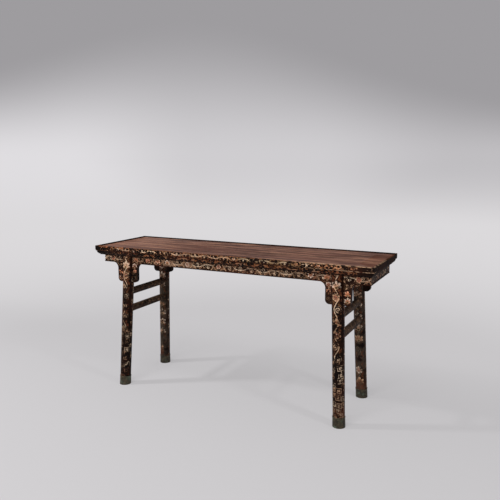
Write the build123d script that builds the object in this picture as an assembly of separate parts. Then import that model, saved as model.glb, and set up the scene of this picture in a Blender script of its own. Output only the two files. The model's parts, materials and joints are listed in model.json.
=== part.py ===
from build123d import *
import os
from math import asin, cos, radians, sin, tan

# A long, narrow altar table with recessed round legs and a flat top.
#
# The top is a mitred frame around a floating panel of glued boards, held flat by cross battens in
# dovetail grooves. A long apron hangs under each long rail and a short one under each end rail. Each
# leg is slotted from the top and straddles its apron and a spandrel board, and carries two tenons that
# enter the long rail. The legs lean outwards both ways. Two round stretchers tie each end pair, and
# every foot stands in a nailed metal cap.
#
# Millimetres. X runs along the table, Y from front to back and Z up from the floor. The origin lies on
# the floor, under the middle of the top.

# ---- overall size
table_length = 1660.0
table_depth = 488.0
table_height = 830.0          # floor to the crest of the raised lip

# ---- top frame and its moulded edge, from the lip down
rail_width = 100.0
lip_width = 11.0
lip_height = 4.0              # how far the lip stands above the table surface
lip_round = 2.0
fascia_height = 24.0          # upright band under the lip's crest
edge_bead_radius = 3.0
edge_bead_recess = 4.5        # from the fascia in to the middle of the bead
belly_start = 6.0             # how far in the lower curve begins
belly_bulge = 4.0             # how far the lower curve swells out from its chord
moulding_inset = 20.0         # from the fascia in to the foot of the moulding
moulding_foot = 3.0           # upright band at the foot of the moulding
moulding_height = 53.0        # crest of the lip to the underside of the frame

# ---- corner joint of the frame
corner_tenon_setback = 32.0   # from the frame's front edge to the tenon
corner_tenon_shoulder = 6.0   # from the tenon to the rail's inner edge
corner_tenon_thickness = 14.0
corner_tenon_rise = 12.0      # from the frame's underside to the tenon
corner_tenon_cover = 24.0     # wood left between the tenon's end and the frame's end
corner_pin_radius = 3.0
corner_pin_length = 34.0
corner_pin_inset = 9.0        # from the tenon's inner side to the middle of the pin
corner_pin_offset = 26.0      # from the rail's inner edge to the middle of the pin

# ---- floating panel and its battens
panel_thickness = 14.0
panel_board_count = 3
panel_tongue_length = 10.0
panel_tongue_thickness = 7.0
panel_movement_gap = 1.0      # room behind the tongue for the panel to swell
board_joint_size = 4.0        # tongue between two boards, as wide as it is thick
batten_count = 5
batten_width = 36.0
batten_height = 28.0
batten_key_height = 5.0
batten_key_neck = 10.0
batten_key_head = 16.0
batten_tenon_length = 18.0
batten_tenon_thickness = 12.0
batten_tenon_shoulder = 4.0   # step in from each side of the batten to its tenon

# ---- aprons
apron_setback_front = 54.0    # from the frame's long edge in to the apron's face
apron_setback_end = 27.0      # from the frame's end in to the end apron's face
apron_thickness = 20.0
apron_height = 46.0
apron_tongue_thickness = 8.0
apron_tongue_height = 7.0
bead_width = 4.5              # raised line along the lower edges
bead_relief = 1.4

# ---- spandrels
spandrel_width = 135.0
spandrel_drop = 112.0         # below the apron's lower edge
spandrel_fillet_radius = 34.0
spandrel_fillet_lift = 1.0    # keeps the fillet's tip from thinning to nothing
spandrel_corner_radius = 22.0
spandrel_tongue_width = 100.0
spandrel_tongue_thickness = 7.0
spandrel_tongue_height = 6.0

# ---- legs
leg_overhang = 196.5          # from the frame's end to the middle of a leg at the frame's underside
leg_splay = 2.4               # degrees of lean, both along and across the table
leg_radius_top = 32.5
leg_radius_foot = 31.0
leg_tenon_width = 32.0
leg_tenon_thickness = 9.0
leg_tenon_height = 26.0
leg_tenon_wall = 3.5          # wood between the slot and each tenon

# ---- stretchers
stretcher_radius = 20.5
stretcher_heights = {"lower": 454.5, "upper": 558.5}
stretcher_tenon_width = 12.0
stretcher_tenon_height = 26.0
stretcher_tenon_length = 34.0

# ---- foot caps
cap_height = 52.0
cap_wall = 2.0
cap_stand_proud = 1.2         # past the leg's surface, at the cap's upper edge
cap_flare = 1.0               # further out again at the floor
cap_floor = 2.5
cap_roll_radius = 1.6
nail_count = 3
nail_first_angle = 40.0
nail_drop = 9.0               # from the cap's upper edge down to the nails
nail_shank_radius = 1.1
nail_length = 14.0
nail_head_radius = 2.8
nail_head_height = 1.4
nail_head_sink = 0.6

# ---- fits
joint_clearance = 0.1         # each side of a tenon, tongue or slotted board

# ---- worked out from the sizes above
half_length = table_length / 2
half_depth = table_depth / 2
surface_z = table_height - lip_height
frame_z = table_height - moulding_height
fascia_z = table_height - fascia_height
panel_z = surface_z - panel_thickness
apron_z = frame_z - apron_height
spandrel_z = apron_z - spandrel_drop
apron_face_y = -half_depth + apron_setback_front
apron_back_y = apron_face_y + apron_thickness
apron_face_x = half_length - apron_setback_end
apron_back_x = apron_face_x - apron_thickness
lean = tan(radians(leg_splay))
leg_top_x = half_length - leg_overhang
leg_top_y = (apron_face_y + apron_back_y) / 2
leg_axis_slope = (1 + 2 * lean**2) ** 0.5      # length of the leg's axis for each unit of height
spare = 60.0                                   # how far a blank runs past the faces that trim it


def leg_x(z):
    """Middle of a right-hand leg at height z."""
    return leg_top_x + lean * (frame_z - z)


def leg_y(z):
    """Middle of a front leg at height z."""
    return leg_top_y - lean * (frame_z - z)


spandrel_x = leg_x(spandrel_z)


def block(x0, x1, y0, y1, z0, z1):
    """A box between two corners."""
    middle = Pos((x0 + x1) / 2, (y0 + y1) / 2, (z0 + z1) / 2)
    return middle * Box(abs(x1 - x0), abs(y1 - y0), abs(z1 - z0))


def prism(points, z0, z1):
    """An upright prism over a plan outline."""
    outline = make_face(Polyline(*points, close=True))
    return Pos(0, 0, z0) * extrude(outline, z1 - z0)


def across(shape):
    """The same piece at the other end of the table."""
    return mirror(shape, about=Plane.YZ)


def behind(shape):
    """The same piece at the back of the table."""
    return mirror(shape, about=Plane.XZ)


# ---- top frame
def rail_section():
    """The rail's section: across, distance in from the frame's edge, and up, height above the floor."""
    bead_top = (edge_bead_recess, fascia_z)
    bead_crest = (edge_bead_recess - edge_bead_radius, fascia_z - edge_bead_radius)
    bead_foot = (edge_bead_recess, fascia_z - 2 * edge_bead_radius)
    belly_top = Vector(belly_start, fascia_z - 2 * edge_bead_radius)
    belly_foot = Vector(moulding_inset, frame_z + moulding_foot)
    chord = belly_foot - belly_top
    outwards = Vector(chord.Y, -chord.X).normalized()
    belly_crest = (belly_top + belly_foot) / 2 + outwards * belly_bulge
    corner = lip_round * (1 - cos(radians(45)))
    lines = [
        Line((0, fascia_z), (0, table_height - lip_round)),
        ThreePointArc((0, table_height - lip_round), (corner, table_height - corner),
                      (lip_round, table_height)),
        Line((lip_round, table_height), (lip_width - lip_round, table_height)),
        ThreePointArc((lip_width - lip_round, table_height),
                      (lip_width - corner, table_height - corner),
                      (lip_width, table_height - lip_round)),
        Polyline((lip_width, table_height - lip_round), (lip_width, surface_z),
                 (rail_width, surface_z), (rail_width, frame_z), (moulding_inset, frame_z),
                 (moulding_inset, frame_z + moulding_foot)),
        ThreePointArc(belly_foot, belly_crest, belly_top),
        Line(belly_top, bead_foot),
        ThreePointArc(bead_foot, bead_crest, bead_top),
        Line(bead_top, (0, fascia_z)),
    ]
    return make_face(Curve() + lines)


def corner_tenon(clearance=0.0):
    """Tenon of the front rail at the right-hand corner. A clearance makes it the mortise's shape."""
    y0 = -half_depth + corner_tenon_setback
    y1 = -half_depth + rail_width - corner_tenon_shoulder
    z0 = frame_z + corner_tenon_rise
    return block(half_length - rail_width - clearance, half_length - corner_tenon_cover + clearance,
                 y0 - clearance, y1 + clearance,
                 z0 - clearance, z0 + corner_tenon_thickness + clearance)


def corner_pin():
    """Bamboo pin that locks the front right corner tenon from below."""
    x = half_length - rail_width + corner_pin_offset
    y = -half_depth + rail_width - corner_tenon_shoulder - corner_pin_inset
    seat = (Align.CENTER, Align.CENTER, Align.MIN)
    return Pos(x, y, frame_z) * Cylinder(corner_pin_radius, corner_pin_length, align=seat)


def panel_groove():
    """Groove right round the inside of the frame, as one ring."""
    tongue = panel_tongue_length + panel_movement_gap
    x, y = half_length - rail_width, half_depth - rail_width
    top = panel_z + panel_tongue_thickness + joint_clearance
    return block(-x - tongue, x + tongue, -y - tongue, y + tongue, panel_z - joint_clearance, top)


def long_rail():
    """Front rail of the frame, with every joint cut."""
    across_plane = Plane(origin=(0, -half_depth, 0), x_dir=(0, 1, 0), z_dir=(1, 0, 0))
    bar = extrude(across_plane * rail_section(), half_length, both=True)
    mitres = prism([(-half_length, -half_depth), (half_length, -half_depth),
                    (half_length - rail_width, -half_depth + rail_width),
                    (-half_length + rail_width, -half_depth + rail_width)], 0, table_height)
    bar = bar & mitres
    bar = bar + corner_tenon() + across(corner_tenon())
    bar = bar - panel_groove() - apron_tongues(joint_clearance)
    for x in batten_places:
        bar = bar - batten_tenon(x, joint_clearance)
    pin = corner_pin()
    mortises = leg_tenons(joint_clearance)
    return bar - mortises - across(mortises) - pin - across(pin)


def end_rail():
    """Right-hand end rail of the frame, with every joint cut."""
    across_plane = Plane(origin=(half_length, 0, 0), x_dir=(-1, 0, 0), z_dir=(0, 1, 0))
    bar = extrude(across_plane * rail_section(), half_depth, both=True)
    mitres = prism([(half_length, -half_depth), (half_length, half_depth),
                    (half_length - rail_width, half_depth - rail_width),
                    (half_length - rail_width, -half_depth + rail_width)], 0, table_height)
    bar = bar & mitres
    mortise = corner_tenon(joint_clearance)
    pin = corner_pin()
    bar = bar - mortise - behind(mortise) - pin - behind(pin)
    return bar - panel_groove() - apron_tongues(joint_clearance)


# ---- floating panel and battens
panel_half_length = half_length - rail_width
panel_half_depth = half_depth - rail_width
batten_pitch = 2 * panel_half_length / (batten_count + 1)
batten_places = [batten_pitch * (n + 1) - panel_half_length for n in range(batten_count)]


def batten_key(x, reach=panel_half_depth, clearance=0.0):
    """Dovetail key on a batten's back. With a clearance, it is the groove across the boards."""
    neck, head = batten_key_neck / 2 + clearance, batten_key_head / 2 + clearance
    top = panel_z + batten_key_height + clearance
    outline = make_face(Polyline((x - neck, panel_z), (x + neck, panel_z), (x + head, top),
                                 (x - head, top), close=True))
    upright = Plane(origin=(0, 0, 0), x_dir=(1, 0, 0), z_dir=(0, -1, 0))
    return extrude(upright * outline, reach, both=True)


def batten_tenon(x, clearance=0.0):
    """Both end tenons of a batten, as one bar."""
    half_width = batten_width / 2 - batten_tenon_shoulder + clearance
    reach = panel_half_depth + batten_tenon_length + clearance
    middle = panel_z - batten_height / 2
    half_height = batten_tenon_thickness / 2 + clearance
    return block(x - half_width, x + half_width, -reach, reach, middle - half_height,
                 middle + half_height)


def batten(x):
    """Cross batten under the panel."""
    half_width = batten_width / 2
    bar = block(x - half_width, x + half_width, -panel_half_depth, panel_half_depth,
                panel_z - batten_height, panel_z)
    return bar + batten_tenon(x) + batten_key(x)


def panel_board(number):
    """One board of the panel, counted from the front."""
    width = 2 * panel_half_depth / panel_board_count
    y0 = -panel_half_depth + width * number
    y1 = y0 + width
    x1 = panel_half_length
    tongue_top = panel_z + panel_tongue_thickness
    board = block(-x1, x1, y0, y1, panel_z, surface_z)
    first, last = number == 0, number == panel_board_count - 1
    tongue_y0 = y0 - panel_tongue_length if first else y0
    tongue_y1 = y1 + panel_tongue_length if last else y1
    end = x1 + panel_tongue_length
    board = board + block(-end, end, tongue_y0, tongue_y1, panel_z, tongue_top)
    joint_z0 = (panel_z + surface_z - board_joint_size) / 2
    joint_z1 = joint_z0 + board_joint_size
    if not last:
        board = board + block(-x1, x1, y1, y1 + board_joint_size, joint_z0, joint_z1)
    if not first:
        groove = block(-end, end, y0, y0 + board_joint_size + joint_clearance,
                       joint_z0 - joint_clearance, joint_z1 + joint_clearance)
        board = board - groove
    for x in batten_places:
        board = board - batten_key(x, panel_half_depth + panel_tongue_length, joint_clearance)
    return board


# ---- aprons and spandrels
def apron_tongue(clearance=0.0):
    """Tongue on the front apron's upper edge, which enters the frame."""
    half = apron_tongue_thickness / 2 + clearance
    return block(-apron_face_x, apron_face_x, leg_top_y - half, leg_top_y + half,
                 frame_z, frame_z + apron_tongue_height + clearance)


def end_apron_tongue(clearance=0.0):
    """The same tongue on the right-hand end apron."""
    half = apron_tongue_thickness / 2 + clearance
    x = (apron_face_x + apron_back_x) / 2
    return block(x - half, x + half, apron_face_y, -apron_face_y,
                 frame_z, frame_z + apron_tongue_height + clearance)


def apron_tongues(clearance):
    """All four tongues together, for cutting the frame's grooves."""
    front, end = apron_tongue(clearance), end_apron_tongue(clearance)
    return front + behind(front) + end + across(end)


def spandrel_outline():
    """Outline of a right-hand spandrel board, in the apron's plane: X across and Z up."""
    half = spandrel_width / 2
    radius = spandrel_fillet_radius
    rise = radius - spandrel_fillet_lift
    reach = half + radius - (radius**2 - rise**2) ** 0.5
    bend = radius * (1 - cos(radians(45)))
    fillet_z = apron_z - rise
    corner = spandrel_corner_radius
    turn = corner * (1 - cos(radians(45)))
    x0, x1 = spandrel_x - half, spandrel_x + half
    lines = [
        Line((spandrel_x - reach, apron_z), (spandrel_x + reach, apron_z)),
        ThreePointArc((spandrel_x + reach, apron_z), (x1 + bend, fillet_z + radius - bend),
                      (x1, fillet_z)),
        Line((x1, fillet_z), (x1, spandrel_z + corner)),
        ThreePointArc((x1, spandrel_z + corner), (x1 - turn, spandrel_z + turn),
                      (x1 - corner, spandrel_z)),
        Line((x1 - corner, spandrel_z), (x0 + corner, spandrel_z)),
        ThreePointArc((x0 + corner, spandrel_z), (x0 + turn, spandrel_z + turn),
                      (x0, spandrel_z + corner)),
        Line((x0, spandrel_z + corner), (x0, fillet_z)),
        ThreePointArc((x0, fillet_z), (x0 - bend, fillet_z + radius - bend),
                      (spandrel_x - reach, apron_z)),
    ]
    return make_face(Curve() + lines)


def facing_front(outline, y, depth):
    """Extrudes an outline of X and Z back from the plane at y."""
    plane = Plane(origin=(0, y, 0), x_dir=(1, 0, 0), z_dir=(0, -1, 0))
    return extrude(plane * outline, -depth)


def front_bead():
    """Raised line along the lower edges of the front apron and both its spandrels, in one piece."""
    above = Pos(0, (apron_z + table_height) / 2) * Rectangle(2 * table_length, table_height - apron_z)
    right = spandrel_outline()
    left = mirror(right, about=Plane.YZ)
    whole = above + right + left
    ring = whole - offset(whole, amount=-bead_width)
    line = facing_front(ring, apron_face_y - bead_relief, bead_relief)
    return line & block(-half_length, half_length, -table_depth, 0, spandrel_z, frame_z)


def apron_mitres():
    """Plan of the front apron, with its mitred ends, as a tall prism."""
    x0, y0 = apron_face_x + bead_relief, apron_face_y - bead_relief
    x1, y1 = apron_back_x, apron_back_y
    return prism([(-x0, y0), (x0, y0), (x1, y1), (-x1, y1)], 0, table_height)


def front_apron(bead, leg):
    """Long apron under the front rail. It runs through the slots of both front legs."""
    board = block(-apron_face_x, apron_face_x, apron_face_y, apron_back_y, apron_z, frame_z)
    above = block(-half_length, half_length, -table_depth, 0, apron_z, frame_z)
    board = board + apron_tongue() + (bead & above)
    board = board & apron_mitres()
    groove = spandrel_tongue(joint_clearance)
    return board - groove - across(groove) - leg - across(leg)


def end_apron():
    """Short apron under the right-hand end rail."""
    board = block(apron_back_x, apron_face_x, apron_face_y, -apron_face_y, apron_z, frame_z)
    line = block(apron_face_x, apron_face_x + bead_relief, apron_face_y - bead_relief,
                 bead_relief - apron_face_y, apron_z, apron_z + bead_width)
    x0, y0 = apron_face_x + bead_relief, -apron_face_y + bead_relief
    x1, y1 = apron_back_x, -apron_back_y
    mitres = prism([(x0, -y0), (x0, y0), (x1, y1), (x1, -y1)], 0, table_height)
    return (board + line + end_apron_tongue()) & mitres


def spandrel_tongue(clearance=0.0):
    """Tongue on the spandrel's upper edge, which enters the apron from below."""
    half_width = spandrel_tongue_width / 2 + clearance
    half = spandrel_tongue_thickness / 2 + clearance
    return block(spandrel_x - half_width, spandrel_x + half_width, leg_top_y - half,
                 leg_top_y + half, apron_z, apron_z + spandrel_tongue_height + clearance)


def spandrel(bead, leg):
    """Front right spandrel board, gripped in the leg's slot below the apron."""
    board = facing_front(spandrel_outline(), apron_face_y, apron_thickness)
    below = block(0, half_length, -table_depth, 0, spandrel_z, apron_z)
    return board + spandrel_tongue() + (bead & below) - leg


# ---- legs, stretchers and foot caps, each made for the front right corner
def leg_plane(along=0.0):
    """Plane square to the front right leg's axis, this far up the axis from the floor."""
    foot = Vector(leg_x(0), leg_y(0), 0)
    direction = Vector(-lean, lean, 1).normalized()
    return Plane(origin=foot + direction * along, x_dir=(1, 0, lean), z_dir=direction)


def leg_radius(along):
    """The leg's radius this far up its axis."""
    share = along / (frame_z * leg_axis_slope)
    return leg_radius_foot + (leg_radius_top - leg_radius_foot) * share


def leg_round(start, end, swell_start=0.0, swell_end=0.0):
    """A stretch of the leg's tapered round, made fatter by the swells."""
    seat = (Align.CENTER, Align.CENTER, Align.MIN)
    return leg_plane(start) * Cone(leg_radius(start) + swell_start, leg_radius(end) + swell_end,
                                   end - start, align=seat)


def stretcher_tenons(height, clearance=0.0):
    """Both tenons of a right-hand stretcher, as one bar from front to back."""
    half_width = stretcher_tenon_width / 2 + clearance
    half_height = stretcher_tenon_height / 2 + clearance
    surface_y = leg_y(height) + leg_radius(height * leg_axis_slope)
    tip = -surface_y + stretcher_tenon_length + clearance
    x = leg_x(height)
    return block(x - half_width, x + half_width, -tip, tip, height - half_height,
                 height + half_height)


def stretcher(height):
    """Right-hand stretcher, its ends hollowed to sit round the legs."""
    along_y = Pos(leg_x(height), 0, height) * Rot(90, 0, 0)
    bar = along_y * Cylinder(stretcher_radius, -2 * leg_y(height))
    whole_leg = leg_round(0, frame_z)
    bar = bar - whole_leg - behind(whole_leg)
    return bar + stretcher_tenons(height)


def leg_tenons(clearance=0.0):
    """The two tenons on a front right leg, one each side of its slot."""
    slot = apron_thickness / 2 + leg_tenon_wall
    half_width = leg_tenon_width / 2 + clearance
    top = frame_z + leg_tenon_height + clearance
    tenons = Part()
    for side in (-1, 1):
        near = leg_top_y + side * (slot - clearance)
        far = leg_top_y + side * (slot + leg_tenon_thickness + clearance)
        tenons = tenons + block(leg_top_x - half_width, leg_top_x + half_width,
                                min(near, far), max(near, far), frame_z, top)
    return tenons


def nail_at(number):
    """One round-headed nail through the cap into the leg."""
    along = cap_height - nail_drop
    radius = leg_radius(along) + cap_stand_proud
    tip = nail_head_sink - nail_length
    dome = (nail_head_radius**2 + nail_head_height**2) / (2 * nail_head_height)
    half_turn = asin(nail_head_radius / dome) / 2
    crest = (dome * sin(half_turn), nail_head_height - dome + dome * cos(half_turn))
    profile = [
        Polyline((0, nail_head_height), (0, tip), (nail_shank_radius, tip),
                 (nail_shank_radius, -nail_head_sink), (nail_head_radius, -nail_head_sink),
                 (nail_head_radius, 0)),
        ThreePointArc((nail_head_radius, 0), crest, (0, nail_head_height)),
    ]
    nail = revolve(Plane.XZ * make_face(Curve() + profile), Axis.Z)
    turn = nail_first_angle + 360 / nail_count * number
    return leg_plane(along) * Rot(0, 0, turn) * Rot(0, 90, 0) * Pos(0, 0, radius) * nail


def leg_and_cap():
    """Front right leg, its foot cap and the cap's nails."""
    top = frame_z * leg_axis_slope
    shaft = leg_round(cap_height, top + spare) & between_heights(0, frame_z)
    spigot_swell = cap_stand_proud - cap_wall
    spigot = leg_round(-spare, cap_height, spigot_swell, spigot_swell)
    spigot = spigot & between_heights(cap_floor, frame_z)
    leg = shaft + spigot
    slot = block(0, half_length, apron_face_y - joint_clearance, apron_back_y + joint_clearance,
                 spandrel_z, table_height)
    leg = leg - slot + leg_tenons()
    for height in stretcher_heights.values():
        leg = leg - stretcher_tenons(height, joint_clearance)

    flare = cap_stand_proud + cap_flare
    sleeve = leg_round(-spare, cap_height, flare + cap_flare * spare / cap_height, cap_stand_proud)
    roll_at = cap_height - cap_roll_radius
    roll = leg_plane(roll_at) * Torus(leg_radius(roll_at) + cap_stand_proud, cap_roll_radius)
    cap = ((sleeve + roll) & between_heights(0, frame_z)) - leg
    nails = [nail_at(n) for n in range(nail_count)]
    for nail in nails:
        cap = cap - nail
        leg = leg - nail
    return leg, cap, Compound(children=[nail.solid() for nail in nails])


def between_heights(z0, z1):
    """Everything near the table between two heights."""
    reach = table_length
    return block(-reach, reach, -reach, reach, z0, z1)


def all_four(name, shape):
    """The piece at each corner of the table."""
    return {
        f"{name}_front_right": shape,
        f"{name}_front_left": across(shape),
        f"{name}_rear_right": behind(shape),
        f"{name}_rear_left": across(behind(shape)),
    }


def build():
    """Every piece of the table, by name."""
    leg, cap, nails = leg_and_cap()
    bead = front_bead()
    front_rail, right_rail = long_rail(), end_rail()
    apron, side_apron = front_apron(bead, leg), end_apron()
    pieces = {
        "top_rail_front": front_rail,
        "top_rail_rear": behind(front_rail),
        "top_rail_right": right_rail,
        "top_rail_left": across(right_rail),
        "apron_front": apron,
        "apron_rear": behind(apron),
        "apron_right": side_apron,
        "apron_left": across(side_apron),
    }
    for n in range(panel_board_count):
        pieces[f"panel_board_{n + 1}"] = panel_board(n)
    for n, x in enumerate(batten_places):
        pieces[f"batten_{n + 1}"] = batten(x)
    pieces.update(all_four("spandrel", spandrel(bead, leg)))
    pieces.update(all_four("leg", leg))
    pieces.update(all_four("foot_cap", cap))
    pieces.update(all_four("cap_nails", nails))
    for name, height in stretcher_heights.items():
        bar = stretcher(height)
        pieces[f"stretcher_{name}_right"] = bar
        pieces[f"stretcher_{name}_left"] = across(bar)
    pins = all_four("pin", corner_pin())
    pieces["corner_pins"] = Compound(children=[pin.solid() for pin in pins.values()])
    return pieces


os.makedirs("parts", exist_ok=True)
for node, shape in build().items():
    export_step(shape, f"parts/{node}.step")
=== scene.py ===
# %% [markdown]
# # A painted altar table
#
# The table is old lacquered joinery: a framed top, aprons and spandrels under it, round legs that lean
# outwards, and metal caps on the feet. Its joinery is already solid and true, so what is left to make
# here is the finish: worn red-brown lacquer on the top, and black lacquer painted with gold scrolls and
# flowers everywhere else. The whole finish is painted with shader nodes, so it has no pictures to load
# and stays sharp at any distance.

# %% Load the joinery
import json
from math import cos, pi, radians, sin, tan

import bpy
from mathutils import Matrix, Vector


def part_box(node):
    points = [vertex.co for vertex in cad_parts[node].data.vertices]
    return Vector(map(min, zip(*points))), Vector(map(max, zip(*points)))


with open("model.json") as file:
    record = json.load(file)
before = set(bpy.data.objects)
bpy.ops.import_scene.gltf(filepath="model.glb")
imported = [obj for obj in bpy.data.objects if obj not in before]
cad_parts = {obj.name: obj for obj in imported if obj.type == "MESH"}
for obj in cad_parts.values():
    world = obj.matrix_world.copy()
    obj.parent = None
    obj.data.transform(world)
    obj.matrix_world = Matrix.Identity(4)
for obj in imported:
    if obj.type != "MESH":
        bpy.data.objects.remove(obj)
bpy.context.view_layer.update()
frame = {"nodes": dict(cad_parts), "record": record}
nodes = frame["nodes"]
print("pieces of joinery:", len(nodes))

# %% [markdown]
# ## Where things are
#
# Every pattern below is laid out from the edges of real pieces, so the few places that matter are read
# from the joinery itself. All of them are metres, with the floor at zero and the table's middle over
# the origin.

# %% Read the main places
rail_low, rail_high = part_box("top_rail_front")
HALF_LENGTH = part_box("top_rail_right")[1].x
HALF_DEPTH = -rail_low.y
CREST = rail_high.z
RAIL_FOOT = rail_low.z
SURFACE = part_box("panel_board_1")[1].z
APRON_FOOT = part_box("apron_front")[0].z
FOOT = Vector(next(m["pos_m"] for m in frame["record"]["mounts"] if m["name"] == "foot_front_right"))
LEAN = tan(radians(2.4))     # how far a leg comes in for each unit that it rises
print("top", round(2 * HALF_LENGTH, 3), "by", round(2 * HALF_DEPTH, 3), "at", round(CREST, 3))

# %% [markdown]
# ## The camera
#
# The table is seen from a little above its top and from its right-hand end, with a slightly long lens
# that keeps the legs nearly parallel. Placing the camera by its stand, its turn and its tilt is how a
# photographer would say it, and it keeps every number readable.

# %% Place the camera
CAMERA_PLACE = (1.501, -2.9507, 1.3363)
CAMERA_TURN = radians(25.97)
CAMERA_TILT = radians(8.78)
FILM_WIDTH = 36.0
LENS = 42.75


def place_camera():
    """The camera, on its stand."""
    data = bpy.data.cameras.new("camera")
    data.sensor_width = FILM_WIDTH
    data.lens = LENS
    camera = bpy.data.objects.new("camera", data)
    camera.location = CAMERA_PLACE
    camera.rotation_euler = (pi / 2 - CAMERA_TILT, 0, CAMERA_TURN)
    bpy.context.scene.collection.objects.link(camera)
    bpy.context.scene.camera = camera


place_camera()
print("camera", CAMERA_PLACE, "lens", LENS)

# %% [markdown]
# ## Maths on surfaces
#
# A painted pattern is a sum of small decisions, such as how far a point lies from a stem. Written as
# nodes by hand these would fill a wall, so one small class stands for a value that varies over a
# surface. Adding or comparing two such values adds the Math node that does it.

# %% A value that varies over a surface
class Field:
    """The output socket of a shader node, with arithmetic."""

    def __init__(self, socket):
        self.socket = socket

    def node(self, kind, settings, sockets, output=0):
        """Adds a node to this value's tree. Settings come first, then the values or links of sockets."""
        tree = self.socket.id_data
        made = tree.nodes.new("ShaderNode" + kind)
        for name, value in settings.items():
            setattr(made, name, value)
        for name, value in sockets.items():
            if isinstance(value, Field):
                tree.links.new(value.socket, made.inputs[name])
            else:
                made.inputs[name].default_value = value
        return Field(made.outputs[output])

    def math(self, operation, *others, first=None):
        """A Math node on this value, or with another value in first place."""
        values = (self, *others) if first is None else (first, self)
        return self.node("Math", {"operation": operation}, dict(enumerate(values)))

    def __add__(self, other):
        return self.math("ADD", other)

    def __radd__(self, other):
        return self.math("ADD", other)

    def __sub__(self, other):
        return self.math("SUBTRACT", other)

    def __rsub__(self, other):
        return self.math("SUBTRACT", first=other)

    def __mul__(self, other):
        return self.math("MULTIPLY", other)

    def __rmul__(self, other):
        return self.math("MULTIPLY", other)

    def __truediv__(self, other):
        return self.math("DIVIDE", other)

    def __rtruediv__(self, other):
        return self.math("DIVIDE", first=other)

    def __neg__(self):
        return self.math("MULTIPLY", -1.0)

    def __abs__(self):
        return self.math("ABSOLUTE")

    def __pow__(self, other):
        return self.math("POWER", other)

    def least(self, other):
        return self.math("MINIMUM", other)

    def most(self, other):
        return self.math("MAXIMUM", other)

    def floor(self):
        return self.math("FLOOR")

    def sine(self):
        return self.math("SINE")

    def cosine(self):
        return self.math("COSINE")

    def root(self):
        return self.math("SQRT")

    def sign(self):
        return self.math("SIGN")

    def rise(self, low, high):
        """0 below low and 1 above high, with a soft step between. It falls if high is below low."""
        return self.node("MapRange", {"interpolation_type": "SMOOTHSTEP"},
                         {0: self, 1: low, 2: high, 3: 0.0, 4: 1.0})

    def below(self, edge, soft):
        """1 where this value is under an edge."""
        return self.rise(edge + soft, edge - soft)

    def within(self, start, full, fading, end):
        """Rises from start to full, stays at 1, and falls from fading to end."""
        return self.rise(start, full) * self.rise(end, fading)

    def choose(self, no, yes):
        """One colour where this value is 0 and another where it is 1."""
        return self.node("Mix", {"data_type": "RGBA"}, {0: self, 6: no, 7: yes}, output=2)

    def choose_number(self, no, yes):
        """One number where this value is 0 and another where it is 1."""
        return no + (yes - no) * self

    def noise(self, scale, detail=2.0, roughness=0.5, stretch=(1, 1, 1)):
        """Noise at this place, from 0 to 1. The stretch multiplies each axis before the noise is read."""
        place = self.node("VectorMath", {"operation": "MULTIPLY"}, {0: self, 1: stretch})
        return self.node("TexNoise", {}, {"Vector": place, "Scale": scale, "Detail": detail,
                                          "Roughness": roughness})

    def random(self, seed):
        """A steady random number for each whole number."""
        return self.node("TexWhiteNoise", {"noise_dimensions": "1D"}, {"W": self + seed})

    def also(self, output):
        """Another output of the node that this value comes from."""
        return Field(self.socket.node.outputs[output])

    def parts(self):
        """The three numbers of a vector or colour."""
        first = self.node("SeparateXYZ", {}, {0: self})
        return first, first.also(1), first.also(2)

    def point(self, y, z=0.0):
        """A place made of three numbers, this one first."""
        return self.node("CombineXYZ", {}, {0: self, 1: y, 2: z})


def colour(red, green, blue):
    """A colour as a painter's chart gives it, 0 to 255, made into linear light."""
    parts = [c / 255 for c in (red, green, blue)]
    return (*[c / 12.92 if c <= 0.04045 else ((c + 0.055) / 1.055) ** 2.4 for c in parts], 1.0)


print("a middle grey of 128 is", round(colour(128, 128, 128)[0], 3), "in linear light")

# %% [markdown]
# ## A material to paint on
#
# Each finish needs the same start: the place of the point in the room, and which way its surface faces.
# Working in millimetres keeps the numbers of a pattern close to the ones a painter would measure.

# %% Start and finish a material
class Coat:
    """A new material: where its points are, and the shader that its colours end in."""

    def __init__(self, name):
        self.material = bpy.data.materials.new(name)
        self.material.use_nodes = True
        self.tree = self.material.node_tree
        self.shader = self.tree.nodes["Principled BSDF"]
        coordinates = self.tree.nodes.new("ShaderNodeTexCoord")
        self.place = Field(coordinates.outputs["Object"])
        self.x, self.y, self.z = [axis * 1000.0 for axis in self.place.parts()]
        self.facing_x, self.facing_y, self.facing_z = Field(coordinates.outputs["Normal"]).parts()

    def finish(self, base, rough, height=None, depth=0.0004, metal=None, shine=0.5):
        """Ends the material in its shader. Height is in units of depth, which is metres."""
        sockets = {"Base Color": base, "Roughness": rough, "Metallic": metal, "Specular IOR Level": shine}
        if height is not None:
            sockets["Normal"] = height.node("Bump", {}, {"Height": height, "Distance": depth,
                                                         "Strength": 1.0})
        for name, value in sockets.items():
            if isinstance(value, Field):
                self.tree.links.new(value.socket, self.shader.inputs[name])
            elif value is not None:
                self.shader.inputs[name].default_value = value
        return self.material


def dress(material, *names):
    """Gives pieces of joinery their finish."""
    for name in names:
        mesh = nodes[name].data
        mesh.materials.clear()
        mesh.materials.append(material)
    print(material.name, "of", len(material.node_tree.nodes), "nodes, on", len(names), "pieces")


print("pieces to dress:", len(nodes))

# %% [markdown]
# ## Paint
#
# A painted surface is a ground with coats laid over it one by one. Each coat is a mask, which says where
# the brush went, and a colour. The same masks, added up, say where the paint stands a hair above the
# ground, which is what catches the light on real gilt lacquer.

# %% Lay paint on a ground
BRUSH_EDGE = 0.35     # millimetres over which a brush stroke fades out


class Painting:
    """Colours laid one over another on a ground, and where they cover it."""

    def __init__(self, ground):
        self.ground = ground
        self.colour = ground
        self.cover = None

    def lay(self, mask, paint):
        """One more coat, where the mask is 1."""
        self.colour = mask.choose(self.colour, paint)
        self.cover = mask if self.cover is None else self.cover.most(mask)


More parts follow.
